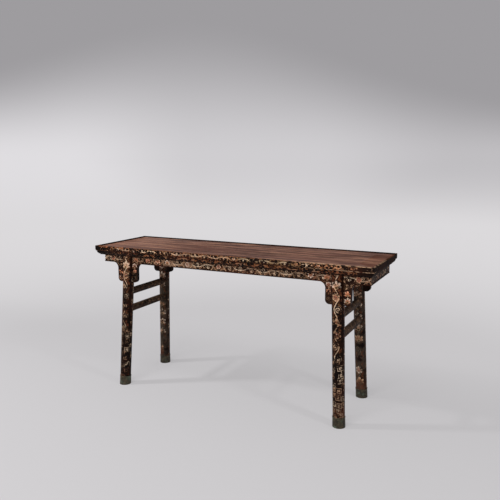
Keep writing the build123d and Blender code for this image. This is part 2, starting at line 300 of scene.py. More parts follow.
def stroke(distance, width):
    """A line of this width where a signed distance passes zero."""
    return abs(distance).below(width / 2, BRUSH_EDGE)


def polar(s, t):
    """Distance from a motif's middle, and the turn about it from -0.5 to 0.5."""
    return (s * s + t * t).root(), t.math("ARCTAN2", s) / (2 * pi)


print("a stroke fades out over", BRUSH_EDGE, "mm")

# %% [markdown]
# ## The painter's colours
#
# The ground is black lacquer that has gone warm with age. Over it the gold has dulled to tan, the reds
# to brick and salmon, and the greens to olive. Keeping them in one chart keeps the table of one hand.
# The painter used them in three ways: bright all over, the same with dark leaves, and mostly gold. Two
# paints for one part are its two extremes, and a random number for each motif falls between them.

# %% The chart of colours
BLACK = colour(12, 4, 2)
BROWN_BLACK = colour(42, 19, 9)
GOLD = colour(214, 170, 134)
PALE_GOLD = colour(242, 214, 182)
OLD_GOLD = colour(142, 92, 60)
SALMON = colour(224, 158, 124)
ORANGE = colour(190, 112, 66)
BRICK = colour(136, 58, 42)
IVORY = colour(242, 216, 192)
OLIVE = colour(84, 72, 46)
RUSSET = colour(88, 42, 28)

BRIGHT_PAINTS = {"leaf": (OLD_GOLD, GOLD), "edge": GOLD, "stem": (OLD_GOLD, PALE_GOLD),
                 "heart": (BRICK, ORANGE), "rim": (SALMON, IVORY)}
DARK_LEAVES = {**BRIGHT_PAINTS, "leaf": (BLACK, BROWN_BLACK)}
GOLD_ON_BLACK = {"leaf": (BROWN_BLACK, RUSSET), "edge": OLD_GOLD, "stem": (GOLD, PALE_GOLD),
                 "heart": (OLD_GOLD, GOLD), "rim": (GOLD, IVORY)}
print("parts that have paints of their own:", ", ".join(BRIGHT_PAINTS))

# %% [markdown]
# ## Motifs
#
# The ornament is the scrolling vine that covers much old lacquer. It has five strokes: a tendril that
# curls in on itself, a pointed leaf with a rib, a round blossom, a lotus seen from the side, and a wavy
# stem. Each one is a distance: where a point lies nearer a line than half the brush's width, it is
# painted. Lengths inside a motif are shares of its size, so that it can be laid large or small.

# %% A curl and a leaf
def curl(r, turn, size, pitch, width, hand):
    """A tendril that winds in to the middle, thin at its outer end."""
    winding = r / pitch - turn * hand
    off = abs(winding - winding.math("ROUND")) * pitch
    brush = (1 - (r / size) ** 3.0) * (width / 2)
    heart = r.below(width * 0.75, BRUSH_EDGE)
    return (off - brush).below(0.0, BRUSH_EDGE).most(heart) * r.below(size, BRUSH_EDGE)


def lay_leaf(painting, s, t, length, width, angle, paint, edge, where=1.0):
    """A pointed leaf, dark along one side, with a rib and an outline in the edge's paint."""
    along = s * cos(angle) + t * sin(angle)
    across = t * cos(angle) - s * sin(angle)
    reach = along / (length / 2)
    inside = (1 - reach * reach) * (width / 2) - abs(across)
    blade = inside.rise(-BRUSH_EDGE, BRUSH_EDGE) * where
    painting.lay(blade, across.rise(-width / 4, width / 4).choose(paint, BROWN_BLACK))
    painting.lay(stroke(inside, width * 0.14).most(stroke(across, width * 0.12)) * blade, edge)


print("curl and leaf ready")

# %% [markdown]
# ## Flowers
#
# A flower is drawn by its distance from the middle and the turn about it. The cosine of that turn, taken
# as many times as there are petals, gives the round blossom its scalloped edge. The lotus divides the
# turn by the angle of one petal, so that a single petal, laid once, comes out five times. Petals pale
# from their foot to their rim, as a loaded brush leaves them.

# %% A blossom and a lotus
LOTUS_PETAL = 0.115       # the turn from one petal to the next


def lay_blossom(painting, s, t, size, petals, rim, deep, where=1.0):
    """A round blossom of two rings of petals."""
    r, turn = polar(s, t)
    lobes = abs((turn * (petals * pi)).cosine())
    edge = size * (0.7 + 0.3 * lobes ** 0.5)
    depth = r / edge
    petal = (edge - r).rise(-BRUSH_EDGE, BRUSH_EDGE) * where
    painting.lay(petal, depth.rise(0.45, 1.0).choose(deep, rim))
    painting.lay(lobes.below(0.24, 0.14) * depth.rise(0.35, 0.5) * petal, BROWN_BLACK)
    ring = size * (0.40 + 0.16 * abs((turn * (petals * pi)).sine()))
    painting.lay(r.rise(ring, ring * 0.9) * where, (r / ring).rise(0.5, 1.0).choose(BRICK, rim))
    painting.lay(stroke(r - ring, size * 0.09) * where, BROWN_BLACK)
    painting.lay(r.below(size * 0.15, BRUSH_EDGE) * where, PALE_GOLD)


def lay_lotus(painting, side, up, size, rim, deep, where=1.0):
    """A lotus from the side: five petals fanned out above its foot, the middle one longest."""
    r, turn = polar(up + size * 0.62, side)
    petal = turn / LOTUS_PETAL
    index = petal.math("ROUND").most(-2.0).least(2.0)
    aside = abs(petal - index) * 2
    length = size * (1.55 - 0.1 * index * index)
    edge = length * (1 - 0.45 * aside ** 2.2)
    blade = (edge - r).rise(-BRUSH_EDGE, BRUSH_EDGE) * aside.below(0.86, 0.08) * where
    painting.lay(blade, (r / length).rise(0.25, 0.85).choose(deep, rim))
    painting.lay(aside.below(0.16, 0.1) * (r / length).rise(0.8, 0.4) * blade, BRICK)
    painting.lay(r.below(size * 0.34, BRUSH_EDGE) * where, OLIVE)
    painting.lay(stroke(r - size * 0.34, size * 0.08) * where, GOLD)


print("a lotus opens over", round(5 * LOTUS_PETAL * 360), "degrees")

# %% [markdown]
# ## The vine
#
# A border is one cell repeated, each turned over from the last, so that the stem becomes a wave and the
# curls lie by turns above and below it. A steady random number for each cell decides which of them
# holds a flower in place of a curl, of which kind and in what colour, so the border repeats in its
# build but not in its detail. A border that climbs has its lotuses turned to stand upright in it.

# %% Lay a vine along a band
STEM_SWING = 0.42         # how far the stem swings out, as a share of the band's half width


def lay_vine(painting, along, across, cell, half, brush, seed, blossoms, strength=1.0, all_past=1e5,
             climbs=False, paints=BRIGHT_PAINTS, leafy=1.0):
    """A vine along a band that reaches half to each side.

    Blossoms is the share of cells in flower, and past the place that all_past gives, every cell is.
    Strength is how fully it is painted, and leafy how broad its leaves are.
    """
    leaves = paints["leaf"]
    index = (along / cell).floor()
    s = along - (index + 0.5) * cell
    flip = 1 - 2 * (index - 2 * (index / 2.0).floor())
    t = across * flip
    garden = (index + 0.5).rise(all_past / cell - 0.01, all_past / cell)
    index = index + seed
    chance = index.random(0.0)
    flowering = chance.below(blossoms, 0.001).most(garden)
    in_band = abs(across).below(half, BRUSH_EDGE) * strength

    # Four leaves to a cell, two on each side of the stem.
    leafing = index.random(7.3)
    for side in (-1, 1):
        paint = leafing.choose(*leaves) if side < 0 else leafing.choose(RUSSET, leaves[0])
        lay_leaf(painting, s - side * 0.30 * cell, t - 0.66 * half, 0.44 * cell, 0.42 * half * leafy,
                 -side * 0.5, paint, paints["edge"], in_band)
        lay_leaf(painting, s - side * 0.38 * cell, t + 0.55 * half, 0.4 * cell, 0.4 * half * leafy,
                 side * 1.0, leafing.choose(leaves[1], OLIVE), paints["edge"], in_band)

    # The stem is a wave. Dividing its height by its slope keeps it of one width.
    swing = STEM_SWING * half
    angle = s * (pi / cell)
    slope = angle.sine() * (swing * pi / cell)
    stem = (t - angle.cosine() * swing) / (1 + slope * slope).root()
    r, turn = polar(s, t + 0.3 * half)
    tendril = curl(r, turn, 0.68 * half, brush * 2.3, brush, 1.0) * (1 - flowering)
    painting.lay(tendril.most(stroke(stem, brush)) * in_band, chance.choose(*paints["stem"]))

    # A flower lies over the stem, and has its own colour.
    hue = index.random(3.1)
    rim = hue.rise(0.25, 0.7).choose(*paints["rim"])
    deep = hue.rise(0.2, 0.5).choose(*paints["heart"])
    fanned = garden.choose_number(index.random(5.7).below(0.6, 0.001), 0.5 - 0.5 * flip)
    flower = flowering * in_band
    lay_blossom(painting, s, t + 0.1 * half, 0.7 * half, 6, rim, deep, flower * (1 - fanned))
    side, up = (t, s) if climbs else (s, t)
    lay_lotus(painting, side, up, 0.74 * half, rim, deep, flower * fanned)


print("a stem swings over", STEM_SWING, "of its band")

# %% [markdown]
# ## Small scrolls between
#
# Behind the vine the ground is filled with little scrolls. A Voronoi texture scatters their middles as
# evenly as a painter would. Its Position output gives the nearest middle, and its Color a random number
# for each, which sets which way that scroll winds and where it starts. Measured by the longer of its
# two sides in place of its radius, the same scroll turns square, as the old fret borders are.

# %% Fill a ground with small scrolls
def lay_small_scrolls(painting, u, v, size, brush, seed, strength, square=None, paints=(OLD_GOLD, GOLD)):
    """Small scrolls all over. Size is how far apart they are, and square, from 0 to 1, makes a fret."""
    spot = (u / size + seed).point(v / size)
    middle = spot.node("TexVoronoi", {"voronoi_dimensions": "2D"},
                       {"Vector": spot, "Scale": 1.0, "Randomness": 0.8}, output="Position")
    offset = spot.node("VectorMath", {"operation": "SUBTRACT"}, {0: spot, 1: middle})
    s, t, _ = offset.parts()
    chance, start, hue = middle.also("Color").parts()
    r, turn = polar(s * size, t * size)
    if square is not None:
        r = r * (1 - square) + abs(s).most(abs(t)) * (size * 1.1) * square
    hand = (chance - 0.5).sign()
    mark = curl(r, turn + start, size * 0.62, brush * 2.4, brush, hand)
    painting.lay(mark * strength, hue.rise(0.2, 0.8).choose(*paints))


print("small scrolls ready")

# %% [markdown]
# ## A human hand, and age
#
# No painted line is ruled, so each pattern is looked up a little to the side of where it should be,
# by a distance that drifts along the surface. Age has then rubbed the paint thin in broad patches,
# chipped it in middling ones and flaked it in small ones, and reddened it in places.

# %% Wobble and wear
LACQUER_SHINE = 0.06
DUST = colour(74, 62, 52)


def by_hand(coat, u, v, reach=7.0):
    """The place where the painter's hand would put this point, up to a fifth of reach away."""
    drift = coat.place.node("TexNoise", {}, {"Vector": coat.place, "Scale": 36.0, "Detail": 2.0}, 1)
    aside, along, _ = drift.parts()
    return u + (aside - 0.5) * reach, v + (along - 0.5) * reach


def lacquer_ground(coat, dusty=0.0):
    """Black lacquer, a little browner in patches, and greyed where it is dusty."""
    clean = coat.place.noise(9.0, 4.0, 0.6).rise(0.4, 0.75).choose(BLACK, BROWN_BLACK)
    return (coat.place.noise(25.0, 4.0, 0.6).rise(0.35, 0.6) * dusty).choose(clean, DUST)


def make_painted(coat, painting, where, kept, faded=0.0, rough=0.42, shine=LACQUER_SHINE):
    """Ends a painted finish.

    Where is the face that was painted, kept is how much paint has stayed, and faded is how far the
    ground shows through it.
    """
    patches = coat.place.noise(30.0, 3.0, 0.6)
    chips = coat.place.noise(115.0, 3.0, 0.6)
    flakes = coat.place.noise(380.0, 3.0, 0.7)
    wear = patches * 0.45 + chips * 0.35 + flakes * 0.2 - 0.24 * kept
    stays = wear.rise(0.405, 0.36) * where
    shade = coat.place.noise(60.0, 3.0, 0.6).rise(0.35, 0.65)
    warmth = coat.place.noise(7.0, 2.0).rise(0.48, 0.62)
    reddened = (0.35 * warmth).choose(painting.colour, (0.6 * painting.cover).choose(painting.ground, BRICK))
    aged = (0.35 * shade + faded).choose(reddened, painting.ground)
    base = stays.choose(painting.ground, aged)
    relief = painting.cover * stays + coat.place.noise(60.0, 3.0) * 0.5
    return coat.finish(base, rough + flakes * 0.15, relief, depth=0.00025,
                       metal=painting.cover * stays * 0.25, shine=shine)


print("wear ready")

# %% [markdown]
# ## The worn red-brown top
#
# The table surface is a field of red-brown lacquer. Rubbing along its length has left long streaks, some
# dark and some pale, and the coat has clouded in soft blotches. The streaks are noise stretched hard
# along the table. Towards the left end the field turns paler, a painted sheen, and inside the raised lip
# at the back and the far end it darkens to near black, a painted shade. The joints of the frame and
# panel show through as hairlines, and the old lacquer has fine cracks across its length.

# %% The top's colour
PANEL_TONGUE = 0.010      # the part of the panel's box that is hidden in the rails
SEAM_X = (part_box("panel_board_1")[1].x - PANEL_TONGUE) * 1000
SEAM_Y = (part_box("panel_board_3")[1].y - PANEL_TONGUE) * 1000
TOP_SHINE = 0.05
LIP_WIDTH = 11.0          # millimetres, as the next five
SEAM_WIDTH = 0.5
# where the painted sheen towards the left end starts, and where it is full
SHEEN_FROM, SHEEN_TO = -250.0, -800.0
# how far from the lip the painted shade inside it starts, and where it is full
LIP_SHADE_FROM, LIP_SHADE_FULL = 20.0, 9.0
FIELD_DARK = colour(92, 57, 46)
FIELD_PALE = colour(130, 91, 76)
CLOUD = colour(104, 60, 46)
DARK_STREAK = colour(54, 30, 23)
PALE_STREAK = colour(172, 126, 100)
FINE_STREAK = colour(60, 36, 28)
LEFT_SHEEN = colour(164, 124, 108)
print("panel shows to", round(SEAM_X), "by", round(SEAM_Y))


def top_lacquer(coat):
    """The field's colour, and how high and rough the wear has left it."""
    broad = coat.place.noise(1.0, 3.0, 0.55, (2.2, 20.0, 1.0))
    dark = coat.place.noise(1.0, 4.0, 0.6, (3.4, 32.0, 1.0))
    pale = coat.place.noise(1.0, 4.0, 0.6, (3.1, 36.0, 3.0))
    fine = coat.place.noise(1.0, 4.0, 0.7, (20.0, 260.0, 3.0))
    clouds = coat.place.noise(8.0, 4.0, 0.6)
    field = broad.rise(0.35, 0.65).choose(FIELD_DARK, FIELD_PALE)
    field = (clouds.rise(0.45, 0.65) * 0.4).choose(field, CLOUD)
    field = (dark.rise(0.46, 0.6) * 0.78).choose(field, DARK_STREAK)
    field = (pale.rise(0.49, 0.64) * 0.75).choose(field, PALE_STREAK)
    field = (fine.rise(0.48, 0.66) * 0.5).choose(field, FINE_STREAK)
    # Painted sheen: the field turns paler towards the left end.
    field = (coat.x.rise(SHEEN_FROM, SHEEN_TO) * 0.25).choose(field, LEFT_SHEEN)
    inside_lip = (HALF_DEPTH * 1000 - LIP_WIDTH - coat.y).least(HALF_LENGTH * 1000 - LIP_WIDTH + coat.x)
    # Painted shade: the field darkens to near black inside the raised lip at the back and the far end.
    field = (inside_lip.rise(LIP_SHADE_FROM, LIP_SHADE_FULL) * 0.9).choose(field, BROWN_BLACK)
    seam = stroke(abs(coat.x) - SEAM_X, SEAM_WIDTH).most(stroke(abs(coat.y) - SEAM_Y, SEAM_WIDTH))
    crackle = coat.place.node("VectorMath", {"operation": "MULTIPLY"}, {0: coat.place, 1: (90.0, 22.0, 1.0)})
    crack = crackle.node("TexVoronoi", {"voronoi_dimensions": "2D", "feature": "DISTANCE_TO_EDGE"},
                         {"Vector": crackle, "Scale": 1.0}).below(0.02, 0.015)
    line = (seam * dark.rise(0.3, 0.6) * 0.6).most(crack * clouds.rise(0.42, 0.6) * 0.5)
    return line.choose(field, BROWN_BLACK), fine - line


# %% [markdown]
# ## Bare wood
#
# Nobody lacquered what nobody sees, so the battens and the panel's underside are bare. Wood is two
# noises stretched along the grain: broad bands where the rings come to the surface, and short pores.
# The boards need both finishes, so which of the two shows is chosen by the way the surface faces.

# %% Wood
WOOD_DARK = colour(78, 54, 37)
WOOD_PALE = colour(112, 82, 56)
PORE = colour(50, 34, 24)


def bare_wood(coat, stretch):
    """Colour and height of dry wood. The stretch is smallest along the grain."""
    bands = coat.place.noise(1.0, 3.0, 0.55, stretch)
    pores = coat.place.noise(6.0, 2.0, 0.5, stretch)
    wood = bands.rise(0.35, 0.65).choose(WOOD_DARK, WOOD_PALE)
    return (pores.rise(0.56, 0.66) * 0.7).choose(wood, PORE), bands - pores


def make_wood(name, stretch):
    """A finish of bare wood alone."""
    coat = Coat(name)
    wood, height = bare_wood(coat, stretch)
    return coat.finish(wood, 0.75, height, depth=0.0003, shine=0.2)


def make_top_finish():
    """The boards' finish: lacquer above and bare wood below."""
    coat = Coat("worn red-brown lacquer")
    field, height = top_lacquer(coat)
    wood, _ = bare_wood(coat, (3.0, 60.0, 60.0))
    below = coat.facing_z.below(-0.5, 0.1)
    return coat.finish(below.choose(field, wood), 0.44 + height * 0.2, height, depth=0.0001,
                       shine=TOP_SHINE)


dress(make_top_finish(), "panel_board_1", "panel_board_2", "panel_board_3")
dress(make_wood("bare battens", (60.0, 3.0, 60.0)), *[n for n in nodes if n.startswith("batten")])
dress(make_wood("bamboo", (400.0, 400.0, 10.0)), "corner_pins")

# %% [markdown]
# ## The painted frame
#
# The frame's moulding has a flat upper band and a hollow belly under a bead. Each band carries its own
# vine. Both are one pattern: below the bead it is looked up again from the belly's middle, further
# along, so the two do not line up. The gold has aged unevenly: it has gone green over one stretch of the
# band and orange over another. In the hollow belly it turns a deeper amber, its tone darkened by a painted
# shade.

# %% The vine on the moulded edge
BAND_MIDDLE = CREST * 1000 - 13.0
BEAD = CREST * 1000 - 27.0
BELLY_DROP = 26.0         # from the middle of the band to the middle of the belly
BELLY_SHIFT = 20.0        # how far along the belly's vine stands from the band's
BAND_HALF = 11.5
BAND_CELL = 58.0
BAND_BRUSH = 4.6
AMBER = colour(170, 112, 56)
# the belly's deeper amber, its own tone darkened by a painted shade
BELLY_SHADE_AMBER = colour(128, 68, 26)
GREENED = (50.0, 140.0, 420.0, 500.0)     # from, fully, fading, to
ORANGED = (460.0, 560.0, 680.0, 760.0)


def paint_moulding(coat, along):
    """The two vines of the moulded edge, and where the hollow belly is."""
    painting = Painting(lacquer_ground(coat))
    u, v = by_hand(coat, along, coat.z, 5.0)
    belly = v.below(BEAD - 3.0, 0.4)
    lay_vine(painting, u + BELLY_SHIFT * belly, v - BAND_MIDDLE + BELLY_DROP * belly, BAND_CELL, BAND_HALF,
             BAND_BRUSH, 11.0 + 30.0 * belly, 0.25, paints=DARK_LEAVES, leafy=1.6)
    painting.lay(painting.cover * 0.2, AMBER)
    # Painted shade: in the hollow belly the strokes turn a deeper, darker amber.
    painting.lay(belly * painting.cover * 0.65, BELLY_SHADE_AMBER)
    band = painting.cover * (1 - belly) * 0.4
    painting.lay(along.within(*GREENED) * band * 1.3, OLIVE)
    painting.lay(along.within(*ORANGED) * band, ORANGE)
    painting.lay(stroke(coat.z - BEAD, 6.4), BLACK)
    return painting, belly


print("band at", round(BAND_MIDDLE), "mm, bead at", round(BEAD), "mm")

# %% [markdown]
# ## Rubbed edges
#
# Hands and sleeves have rubbed the front lip brown, more deeply over one stretch near its left end, and
# the bead is rubbed where it stands proudest. Towards the right of the front both turn pale tan, a
# painted highlight along these edges. The long rails have lost most of their paint at both ends.
# A rubbed edge is found by height, by the way the surface faces and by a patchy noise, because rubbing
# follows the shape of a piece and never a ruled line.

# %% Frame
LIP_DEPTH = 2.8           # how far down the lip is rubbed, in millimetres
DEEP_LIP_DEPTH = 10.0
DEEPLY_RUBBED = (-810.0, -750.0, -650.0, -580.0)
RUBBED_BROWN = colour(146, 90, 58)
# pale tan of the rubbed lip and bead to the right, a painted highlight
RUBBED_TAN_HIGHLIGHT = colour(190, 152, 120)
BARE_ENDS = (690.0, 790.0)                # where the long rails' paint thins out, to each side
THINNER_LEFT = (-280.0, -380.0)
BEST_KEPT = -60.0         # the place along the front whose paint has stayed best


def rubbed_and_highlit_edges(coat, outward, right, left):
    """Where the lip and the bead are rubbed, with the bead's crest stronger to the right as a painted
    highlight.
    """
    lip = coat.z - (CREST * 1000 - left.choose_number(LIP_DEPTH, DEEP_LIP_DEPTH))
    lip = lip.rise(0.0, 1.0 + 3.0 * left)
    front = coat.y.below(-HALF_DEPTH * 1000 + 40.0, 20.0)
    patchy = coat.place.noise(50.0, 4.0).rise(0.4, 0.55)
    near_end = coat.x.rise(HALF_LENGTH * 1000 - 20.0, HALF_LENGTH * 1000 - 12.0)
    rubbed = lip * coat.facing_z.rise(0.5, 0.9).most(outward) * front.most(near_end * 0.5) * patchy
    # The bead's crest, rubbed, and stronger to the right, where it is a painted highlight.
    bead_rub_and_highlight = stroke(coat.z - BEAD - 1.0, 3.0) * (0.2 + 0.6 * right) * front * patchy
    return (rubbed * (0.5 + 0.3 * right.most(left))).most(bead_rub_and_highlight)


def make_frame_finish(name, along_axis, kept, shine):
    """The frame's finish: red-brown above, painted black on the moulded edge, plain black below."""
    coat = Coat(name)
    painting, belly = paint_moulding(coat, coat.x if along_axis == "x" else coat.y)
    # Where the painted highlight on the lip and bead falls: the right part of the front.
    right = coat.x.rise(250.0, 600.0) * coat.y.below(0.0, 1.0)
    left = coat.x.within(*DEEPLY_RUBBED)
    field, _ = top_lacquer(coat)
    top = coat.facing_z.rise(0.6, 0.8) * (coat.z - SURFACE * 1000).below(1.0, 0.5)
    outward = (coat.facing_x * coat.x.sign() + coat.facing_y * coat.y.sign()).rise(0.0, 0.2)
    side = outward * abs(coat.facing_z).below(0.9, 0.05)
    # The belly keeps a little less paint, part of its painted shade.
    kept = kept - 0.4 * abs(coat.x).rise(*BARE_ENDS) - 0.1 * coat.x.rise(*THINNER_LEFT) - 0.08 * belly
    kept = kept + 0.12 * abs(coat.x - BEST_KEPT).below(180.0, 60.0) * (1 - belly)
    material = make_painted(coat, painting, side, kept, shine=shine)
    base = Field(coat.shader.inputs["Base Color"].links[0].from_socket)
    # Painted highlight: towards the right of the front, the rubbed lip and bead turn pale tan.
    base = rubbed_and_highlit_edges(coat, outward, right, left).choose(base, right.choose(RUBBED_BROWN, RUBBED_TAN_HIGHLIGHT))
    coat.tree.links.new(top.choose(base, field).socket, coat.shader.inputs["Base Color"])
    return material


dress(make_frame_finish("painted frame, long", "x", 0.57, LACQUER_SHINE), "top_rail_front", "top_rail_rear")
# The end rails keep far less paint and almost no sheen: partly wear, and partly a painted shade on the ends.
dress(make_frame_finish("painted frame, worn and shaded ends", "y", 0.25, 0.005), "top_rail_left", "top_rail_right")

# %% [markdown]
# ## The painted aprons
#
# The aprons carry the broadest vine of the table, with small scrolls behind it and a plain black bead
# along their lower edge. One larger lotus stands beside each leg and one blossom near each end. Left of
# the middle the black is rubbed through to the pale ground. Only the outer faces are painted, which is
# where the piece stands further out than its own inner half.

# %% Aprons
APRON_FACE_Y = 190.0      # the faces of the long and of the end aprons, out from the middle
APRON_FACE_X = 803.0
APRON_MIDDLE = (RAIL_FOOT + APRON_FOOT) * 500 + 2
APRON_CELL = 66.0
APRON_HALF = 20.0
APRON_BRUSH = 3.8
LOTUS_BESIDE_LEG = 580.0
BLOSSOM_NEAR_END = 742.0
RUBBED_THROUGH = (-460.0, -390.0, -240.0, -120.0)
PALE_GROUND = colour(138, 108, 88)


def outer_face(out):
    """1 on the outer face of a board, where out is how far a point stands past that face."""
    return out.rise(-1.5, -1.0)


def bead(out):
    """1 on the bead along a board's edge, which stands a little past its face."""
    return out.rise(0.5, 0.8)


def make_apron_finish(name, along_axis, kept, shine):
    """The aprons' finish, for the long ones or the end ones."""
    coat = Coat(name)
    along = coat.x if along_axis == "x" else coat.y
    out = abs(coat.y) - APRON_FACE_Y if along_axis == "x" else abs(coat.x) - APRON_FACE_X
    abraded = coat.place.noise(16.0, 4.0).rise(0.42, 0.58) * along.within(*RUBBED_THROUGH)
    painting = Painting((0.7 * abraded).choose(lacquer_ground(coat), PALE_GROUND))
    u, v = by_hand(coat, along, coat.z)
    lay_small_scrolls(painting, u, v, 21.0, 3.2, 1.0, 0.35)
    v = v - APRON_MIDDLE
    lay_vine(painting, u, v, APRON_CELL, APRON_HALF, APRON_BRUSH, 5.0, 0.25)
    lay_lotus(painting, abs(u) - LOTUS_BESIDE_LEG, v, 14.0, SALMON, ORANGE)
    lay_blossom(painting, abs(u) - BLOSSOM_NEAR_END, v, 13.0, 5, SALMON, BRICK)
    painting.lay(bead(out), BROWN_BLACK)
    kept = kept - 0.2 * coat.x.rise(-400.0, 500.0) - 0.25 * coat.x.rise(-440.0, -520.0)
    return make_painted(coat, painting, outer_face(out), kept, shine=shine)


dress(make_apron_finish("painted apron, long", "x", 0.85, LACQUER_SHINE), "apron_front", "apron_rear")
# The end aprons keep less paint and almost no sheen too: partly wear, and partly a painted shade.
dress(make_apron_finish("painted apron, worn and shaded ends", "y", 0.55, 0.02), "apron_left", "apron_right")

# %% [markdown]
# ## The painted spandrels
#
# Each spandrel board stands out on both sides of its leg like a pair of wings. Every wing has two
# lotuses, one above the other, each with a short stem and two leaves, and they are larger on the outer
# wing. One lotus is drawn once: which of the four places it stands in is chosen by the point's own place.

# %% Spandrels
LEG_MIDDLE = 639.0
WING = 49.5               # from the leg's middle to the middle of a wing
INNER_HEIGHTS = (688.0, 722.0)
OUTER_HEIGHTS = (646.0, 680.0)
INNER_SIZES = (10.0, 14.0)
OUTER_SIZE = 15.0
INNER_SPLIT = 706.0       # the height between a wing's two lotuses
OUTER_SPLIT = 664.0


def corners(name):
    """The four pieces of a kind, one at each corner of the table."""
    return [f"{name}_{end}_{side}" for end in ("front", "rear") for side in ("left", "right")]


def make_spandrel_finish():
    """The spandrels' finish."""
    coat = Coat("painted spandrels")
    out = abs(coat.y) - APRON_FACE_Y
    painting = Painting(lacquer_ground(coat))
    u, v = by_hand(coat, abs(coat.x), coat.z)
    outer = (u - LEG_MIDDLE).rise(-0.1, 0.1)
    high = (v - outer.choose_number(INNER_SPLIT, OUTER_SPLIT)).rise(-0.1, 0.1)
    side = abs(u - LEG_MIDDLE) - WING
    up = v - outer.choose_number(high.choose_number(*INNER_HEIGHTS), high.choose_number(*OUTER_HEIGHTS))
    size = outer.choose_number(high.choose_number(*INNER_SIZES), OUTER_SIZE)
    above = v.rise(690.0, 702.0)
    lay_small_scrolls(painting, u, v, 20.0, 3.0, 2.0, 0.2 + 0.5 * above, paints=(OLIVE, GOLD))
    for hand in (-1, 1):
        lay_leaf(painting, side - hand * 0.6 * size, up + 0.9 * size, 1.1 * size, 0.45 * size, -hand * 0.7,
                 RUSSET, OLD_GOLD)
    stem = stroke(side - 1.5 * (up * 0.2).sine(), 2.2) * up.below(-4.0, BRUSH_EDGE) * up.rise(-24.0, -14.0)
    painting.lay(stem, OLD_GOLD)
    rim = outer.choose(high.choose(SALMON, IVORY), high.choose(IVORY, SALMON))
    lay_lotus(painting, side, up, size, rim, outer.choose(BRICK, ORANGE))
    painting.lay(bead(out), BROWN_BLACK)
    return make_painted(coat, painting, outer_face(out), 0.59)


dress(make_spandrel_finish(), *corners("spandrel"))

# %% [markdown]
# ## The painted legs
#
# A leg is a leaning cone, so its pattern is wrapped: one way up it, and one way round it, measured as
# the turn about its own axis. Three vines climb side by side, and one of them faces outwards to the
# front or back on every leg. All are in flower near the top. Low on the front legs they give way to a
# square fret. The rear legs are dustier, with dull stems and more single flowers.

# %% Legs
LEG_ROUND = 198.0         # millimetres round a leg
COLUMN = LEG_ROUND / 3
LEG_CELL = 62.0
LEG_HALF = 30.0
LEG_BRUSH = 4.2
FRET_FROM, FRET_BELOW = 350.0, 320.0
ALL_IN_FLOWER = 600.0
PALER_ABOVE = (560.0, 640.0)
DULL = colour(104, 90, 74)
FOOT_BROWN = colour(104, 54, 34)


def make_leg_finish():
    """The legs' finish, for front and rear ones alike."""
    coat = Coat("painted legs")
    rear = coat.y.rise(-1.0, 1.0)
    painting = Painting(lacquer_ground(coat, 0.6 * rear))
    out_x = abs(coat.x) - (FOOT.x * 1000 - coat.z * LEAN)
    out_y = (FOOT.y * 1000 + coat.z * LEAN + abs(coat.y)) * -coat.y.sign()
    _, around = polar(out_y, out_x)
    u, v = by_hand(coat, coat.z - 12.0, around * LEG_ROUND)
    fret = u.rise(FRET_FROM, FRET_BELOW) * (1 - rear)
    lay_small_scrolls(painting, u, v, 34.0, LEG_BRUSH, 4.0, fret, 1.0, (GOLD, PALE_GOLD))
    stems = (rear.choose(GOLD, DULL), rear.choose(PALE_GOLD, DULL))
    column = (v / COLUMN).math("ROUND")
    seed = 30.0 * coat.x.sign() + 60.0 * coat.y.sign() + 7.0 * column
    lay_vine(painting, u + column * 30.0, v - column * COLUMN, LEG_CELL, LEG_HALF, LEG_BRUSH, seed,
             0.08 + 0.52 * rear, 1 - fret, ALL_IN_FLOWER, climbs=True,
             paints={**GOLD_ON_BLACK, "stem": stems})
    painting.lay(coat.z.rise(115.0, 85.0) * 0.6, FOOT_BROWN)
    higher = coat.z.rise(*PALER_ABOVE)
    kept = 0.53 + 0.18 * higher + 0.15 * coat.z.rise(260.0, 160.0) * coat.x.sign()
    faded = (0.3 + 0.05 * rear) * (1 - higher)
    return make_painted(coat, painting, 1.0, kept, faded)


dress(make_leg_finish(), *corners("leg"))

# %% [markdown]
# ## The stretchers
#
# The round stretchers were painted too, but feet have rested on them for generations. A little of the
# scrollwork is left on their sides, and their upper faces turn brown in patches, partly rubbed and partly
# a painted highlight. Both pairs share one pattern, which is looked up from the middle of whichever
# stretcher is nearer.

# %% Stretchers
STRETCHER_UPPER = 558.5
STRETCHER_LOWER = 454.5
STRETCHER_ROUND = 126.0
# brown of the upper faces, partly rubbed wood and partly a painted highlight
RUBBED_AND_LIT_WOOD = colour(86, 66, 50)


def make_stretcher_finish():
    """The stretchers' finish."""
    coat = Coat("worn stretchers")
    painting = Painting(lacquer_ground(coat, 0.25))
    is_low = coat.z.below((STRETCHER_UPPER + STRETCHER_LOWER) / 2, 1.0)
    out_z = coat.z - STRETCHER_UPPER + (STRETCHER_UPPER - STRETCHER_LOWER) * is_low
    out_x = abs(coat.x) - (FOOT.x * 1000 - coat.z * LEAN)
    _, around = polar(out_z, out_x)
    u, v = by_hand(coat, coat.y, around * STRETCHER_ROUND)
    lay_small_scrolls(painting, u, v, 20.0, 2.8, 6.0, 0.8)
    # Partly rubbing and partly a painted highlight: the upper faces turn brown in patches.
    rubbed = coat.facing_z.rise(-0.6, 0.8) * coat.place.noise(40.0, 4.0).rise(0.35, 0.6)
    painting.ground = (rubbed * 0.8).choose(painting.ground, RUBBED_AND_LIT_WOOD)
    return make_painted(coat, painting, 1.0, 0.45, 0.3, rough=0.55, shine=0.08)


dress(make_stretcher_finish(), *[n for n in nodes if n.startswith("stretcher")])

# %% [markdown]
# ## The metal feet
#
# The caps are sheet brass gone dark, green in patches and brown where it is handled, with a brighter
# roll at the top. Metal looks like metal when its tone and its roughness change together, so both
# follow one noise. The nails are of the same brass, rubbed a little brighter.

# %% Caps and nails
CAP_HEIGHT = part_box("foot_cap_front_left")[1].z * 1000
VERDIGRIS = colour(74, 92, 76)
print("caps stand", round(CAP_HEIGHT, 1), "mm high")


